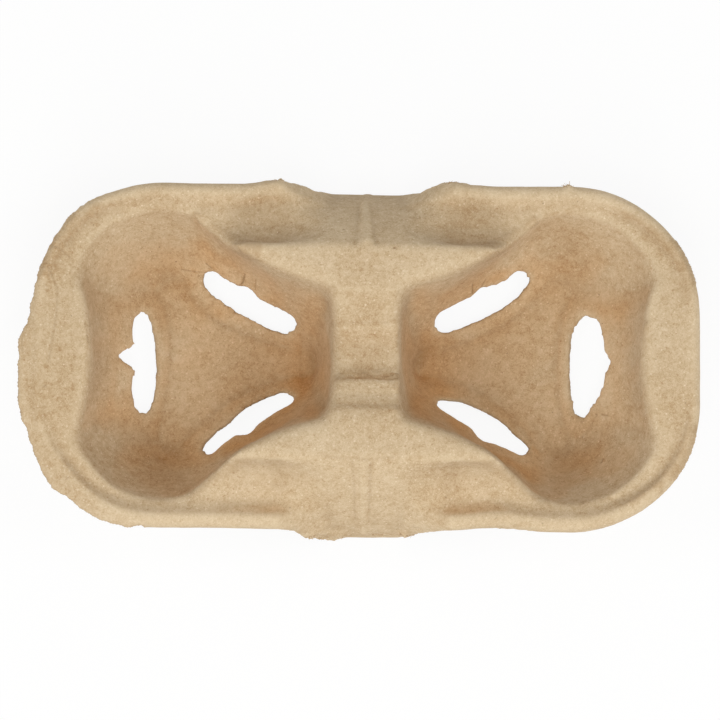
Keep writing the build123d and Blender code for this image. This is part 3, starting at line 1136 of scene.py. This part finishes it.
@dataclass
class EdgeFibres:
    """Loose fibres and chips of pulp that stand out of the torn edges."""

    tray: bpy.types.Object
    camera: PhotoCamera
    finish: bpy.types.Material
    seed: int = 11
    thickness_mm: float = 0.16
    sides: int = 5
    root_radius: float = 0.5
    tip_radius: float = 0.22
    cuts: tuple[float, ...] = (0.25, 0.5, 0.75)
    # How far from its pixel a fibre starts, along the edge and out of it, and how low it roots
    along_mm: tuple[float, float] = (-2.2, 2.2)
    out_mm: tuple[float, float] = (-0.2, 0.4)
    below_mm: float = 0.2
    # How far it leans along the edge and up, and how long, thick and bent it is
    lean: tuple[float, float] = (-1.3, 1.3)
    rise: tuple[float, float] = (-0.3, 0.5)
    length_share: tuple[float, float] = (0.5, 1.4)
    width_share: tuple[float, float] = (0.7, 1.8)
    bend: tuple[float, float] = (-0.5, 0.5)
    rooted_share: float = 0.3
    torn_share: float = 0.55
    tufts: tuple[Tuft, ...] = (
        Tuft((569, 186), Push.FAR, 14, 1.3),
        Tuft((281, 180), Push.FAR, 12, 0.8),
        Tuft((453, 183), Push.FAR, 12, 0.8),
        Tuft((311, 188), Push.FAR, 5, 0.8),
        Tuft((312, 536), Push.NEAR, 12, 1.1),
        Tuft((324, 537), Push.NEAR, 10, 1.2),
        Tuft((345, 536), Push.NEAR, 8, 0.9),
        Tuft((380, 534), Push.NEAR, 10, 1.1),
        Tuft((404, 535), Push.NEAR, 12, 1.2),
        Tuft((126, 359), Push.RIGHT, 5, 0.9),
        Tuft((203, 275), Push.NEAR, 4, 0.8),
        Tuft((226, 298), Push.NEAR, 5, 0.9),
        Tuft((244, 289), Push.NEAR, 5, 1.0),
        Tuft((253, 430), Push.FAR, 6, 1.0),
        Tuft((470, 293), Push.NEAR, 4, 0.9),
        Tuft((481, 290), Push.NEAR, 5, 0.9),
        Tuft((474, 422), Push.FAR, 6, 0.9),
        Tuft((598, 415), Push.LEFT, 5, 0.8),
        Tuft((68, 477), Push.NEAR, 3, 1.6),
    )

    def build(self) -> bpy.types.Object:
        """Model one curved fibre, then set copies of it along the tears.

        Returns:
            All loose fibres as one piece.
        """
        dice = random.Random(self.seed)
        surface = surface_of(self.tray)
        first = self._one_fibre()
        copies = []
        for tuft in self.tufts:
            root = surface.ray_cast(*self.camera.ray(tuft.pixel))[0]
            if root is None:
                LOG.info("no edge at pixel %s", tuft.pixel)
                continue
            copies += self._grow(first, surface, root, tuft, dice)
        deselect_all()
        bpy.data.objects.remove(first)
        for fibre in copies:
            fibre.select_set(True)
        bpy.context.view_layer.objects.active = copies[0]
        bpy.ops.object.join()
        fibres = bpy.context.object
        fibres.name = fibres.data.name = "edge_fibres"
        bpy.ops.object.transform_apply(location=True, rotation=True, scale=True)
        for vert in fibres.data.vertices:
            vert.co.z = max(vert.co.z, 0.0)
        keep_trait(fibres, Trait.TORN, [self.torn_share] * len(fibres.data.vertices))
        fibres.data.materials.clear()
        fibres.data.materials.append(self.finish)
        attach(fibres, "root")
        return fibres

    def _grow(
        self,
        first: bpy.types.Object,
        surface: BVHTree,
        root: Vector,
        tuft: Tuft,
        dice: random.Random,
    ) -> list[bpy.types.Object]:
        """Set the fibres of one tuft on the edge.

        Args:
            first: The fibre to copy.
            surface: The sheet's search tree.
            root: Where the tuft's pixel meets the sheet.
            tuft: Its way, count and length.
            dice: The seeded source of chance.

        Returns:
            The placed copies.
        """
        out = Vector((*tuft.way.value, 0))
        along = out.cross(Vector((0, 0, 1)))
        copies = []
        for _ in range(tuft.count):
            aside = along * dice.uniform(*self.along_mm) * MM
            start = root + aside + out * dice.uniform(*self.out_mm) * MM
            start = surface.find_nearest(start - Vector((0, 0, self.below_mm * MM)))[0]
            way = out + along * dice.uniform(*self.lean) + Vector((0, 0, dice.uniform(*self.rise)))
            size = tuft.length_mm * dice.uniform(*self.length_share) * MM
            start -= way.normalized() * size * self.rooted_share
            copies.append(self._copy(first, start, way, size, dice))
        return copies

    def _one_fibre(self) -> bpy.types.Object:
        """Model one tapering fibre a unit long, along Z, cut so that its copies can bend.

        Returns:
            The fibre to copy.
        """
        deselect_all()
        bpy.ops.mesh.primitive_cone_add(
            vertices=self.sides,
            radius1=self.root_radius,
            radius2=self.tip_radius,
            depth=1.0,
            location=(0, 0, 0.5),
        )
        fibre = bpy.context.object
        bpy.ops.object.transform_apply(location=True, rotation=True, scale=True)
        bpy.ops.object.mode_set(mode="EDIT")
        for height in self.cuts:
            bpy.ops.mesh.select_all(action="SELECT")
            bpy.ops.mesh.bisect(plane_co=(0, 0, height), plane_no=(0, 0, 1))
        bpy.ops.object.mode_set(mode="OBJECT")
        return fibre

    def _copy(
        self, first: bpy.types.Object, start: Vector, way: Vector, size: float, dice: random.Random
    ) -> bpy.types.Object:
        """Copy the fibre to one place, bent its own way.

        Args:
            first: The fibre to copy.
            start: Where it leaves the edge.
            way: The way that it points.
            size: Its length in metres.
            dice: The seeded source of chance.

        Returns:
            The placed copy.
        """
        mesh = first.data.copy()
        width = self.thickness_mm * MM * dice.uniform(*self.width_share)
        bend_x, bend_y = dice.uniform(*self.bend), dice.uniform(*self.bend)
        turn = way.normalized().to_track_quat("Z", "X")
        for vert in mesh.vertices:
            up = vert.co.z
            local = Vector((vert.co.x * width, vert.co.y * width, up * size))
            local += Vector((bend_x, bend_y, 0)) * up * up * size
            vert.co = start + turn @ local
        fibre = bpy.data.objects.new("fibre", mesh)
        bpy.context.scene.collection.objects.link(fibre)
        return fibre


@dataclass(frozen=True)
class Lamp:
    """A wide lamp: where it stands, and how much it lights a white face turned to it."""

    name: str
    round_deg: float
    height_deg: float
    share: float


@dataclass(frozen=True)
class Studio:
    """A pale floor under wide lamps, strongest from the near side and the ends, in a soft room."""

    centre_mm: tuple[float, float, float] = (2.14, 0.0, 20.0)
    lamps: tuple[Lamp, ...] = (
        Lamp("near_lamp", -90, 38, 0.33),
        Lamp("high_lamp", -90, 70, 0.3),
        Lamp("right_lamp", 0, 38, 0.27),
        Lamp("left_lamp", 180, 38, 0.28),
        Lamp("far_lamp", 90, 24, 0.09),
    )
    lamp_distance: float = 1.2
    lamp_size: float = 0.6
    sky_share: float = 0.26
    floor_size: float = 6.0
    floor_colour: str = "F4F4F2"
    floor_glow: float = 0.9

    def build(self) -> None:
        """Set up the floor, the lamps and the world."""
        self._floor()
        for lamp in self.lamps:
            self._hang(lamp)
        self._world()

    def _floor(self) -> None:
        """Lay the floor, white to the eye but for the carrier's own faint shadow."""
        deselect_all()
        bpy.ops.mesh.primitive_plane_add(size=self.floor_size, location=(0, 0, 0))
        floor = bpy.context.object
        floor.name = "floor"
        material = bpy.data.materials.new("white_floor")
        material.use_nodes = True
        tree = material.node_tree
        tree.nodes.clear()
        path = add_node(tree, "ShaderNodeLightPath")
        board = add_node(tree, "ShaderNodeBsdfDiffuse", {"Color": linear(self.floor_colour)})
        glow = add_node(tree, "ShaderNodeEmission", {"Color": WHITE, "Strength": 1.0})
        seen = add_node(
            tree,
            "ShaderNodeMath",
            {"operation": "ADD", "use_clamp": True},
            {0: path.outputs["Is Camera Ray"], 1: path.outputs["Is Glossy Ray"]},
        )
        lit = add_node(
            tree,
            "ShaderNodeMath",
            {"operation": "MULTIPLY", 1: self.floor_glow},
            {0: seen.outputs[0]},
        )
        mixed = add_node(
            tree,
            "ShaderNodeMixShader",
            {},
            {0: lit.outputs[0], 1: board.outputs[0], 2: glow.outputs[0]},
        )
        add_node(tree, "ShaderNodeOutputMaterial", {}, {"Surface": mixed.outputs[0]})
        floor.data.materials.append(material)

    def _hang(self, lamp: Lamp) -> None:
        """Hang one wide lamp, facing the carrier.

        Args:
            lamp: Its place and strength.
        """
        turn, height = math.radians(lamp.round_deg), math.radians(lamp.height_deg)
        flat = math.cos(height)
        back = Vector((math.cos(turn) * flat, math.sin(turn) * flat, math.sin(height)))
        light = bpy.data.lights.new(lamp.name, "AREA")
        light.shape, light.size = "SQUARE", self.lamp_size
        # P watts light a face at a distance d with P / (pi d^2), and pi of that makes it white.
        light.energy = lamp.share * math.pi**2 * self.lamp_distance**2
        holder = bpy.data.objects.new(lamp.name, light)
        bpy.context.scene.collection.objects.link(holder)
        holder.location = from_mm(self.centre_mm) + back * self.lamp_distance
        holder.rotation_euler = back.to_track_quat("Z", "Y").to_euler()

    def _world(self) -> None:
        """Fill the room with even light, seen as white."""
        world = bpy.data.worlds.new("soft_room")
        bpy.context.scene.world = world
        world.use_nodes = True
        tree = world.node_tree
        tree.nodes.clear()
        path = add_node(tree, "ShaderNodeLightPath")
        room = add_node(
            tree, "ShaderNodeBackground", {"Color": WHITE, "Strength": self.sky_share}
        )
        seen = add_node(tree, "ShaderNodeBackground", {"Color": WHITE, "Strength": 1.0})
        mixed = add_node(
            tree,
            "ShaderNodeMixShader",
            {},
            {0: path.outputs["Is Camera Ray"], 1: room.outputs[0], 2: seen.outputs[0]},
        )
        add_node(tree, "ShaderNodeOutputWorld", {}, {"Surface": mixed.outputs[0]})


def main() -> None:
    """Build the camera, the carrier with its loose fibres, and the studio round them."""
    logging.basicConfig(level=logging.INFO, format="%(message)s")
    # Without a seed the noise that moves the sheet would start from the clock.
    noise.seed_set(NOISE_SEED)
    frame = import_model()
    deselect_all()
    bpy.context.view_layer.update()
    camera = PhotoCamera()
    camera.build()
    finish = MouldedPulp().build()
    tray = PulpTray(frame["nodes"]["carrier"], camera, finish).build()
    LOG.info("%s: %d faces", tray.name, len(tray.data.polygons))
    fibres = EdgeFibres(tray, camera, finish).build()
    LOG.info("%s: %d faces", fibres.name, len(fibres.data.polygons))
    Studio().build()
    bpy.context.scene.view_settings.view_transform = "Standard"


if __name__ == "__main__":
    main()
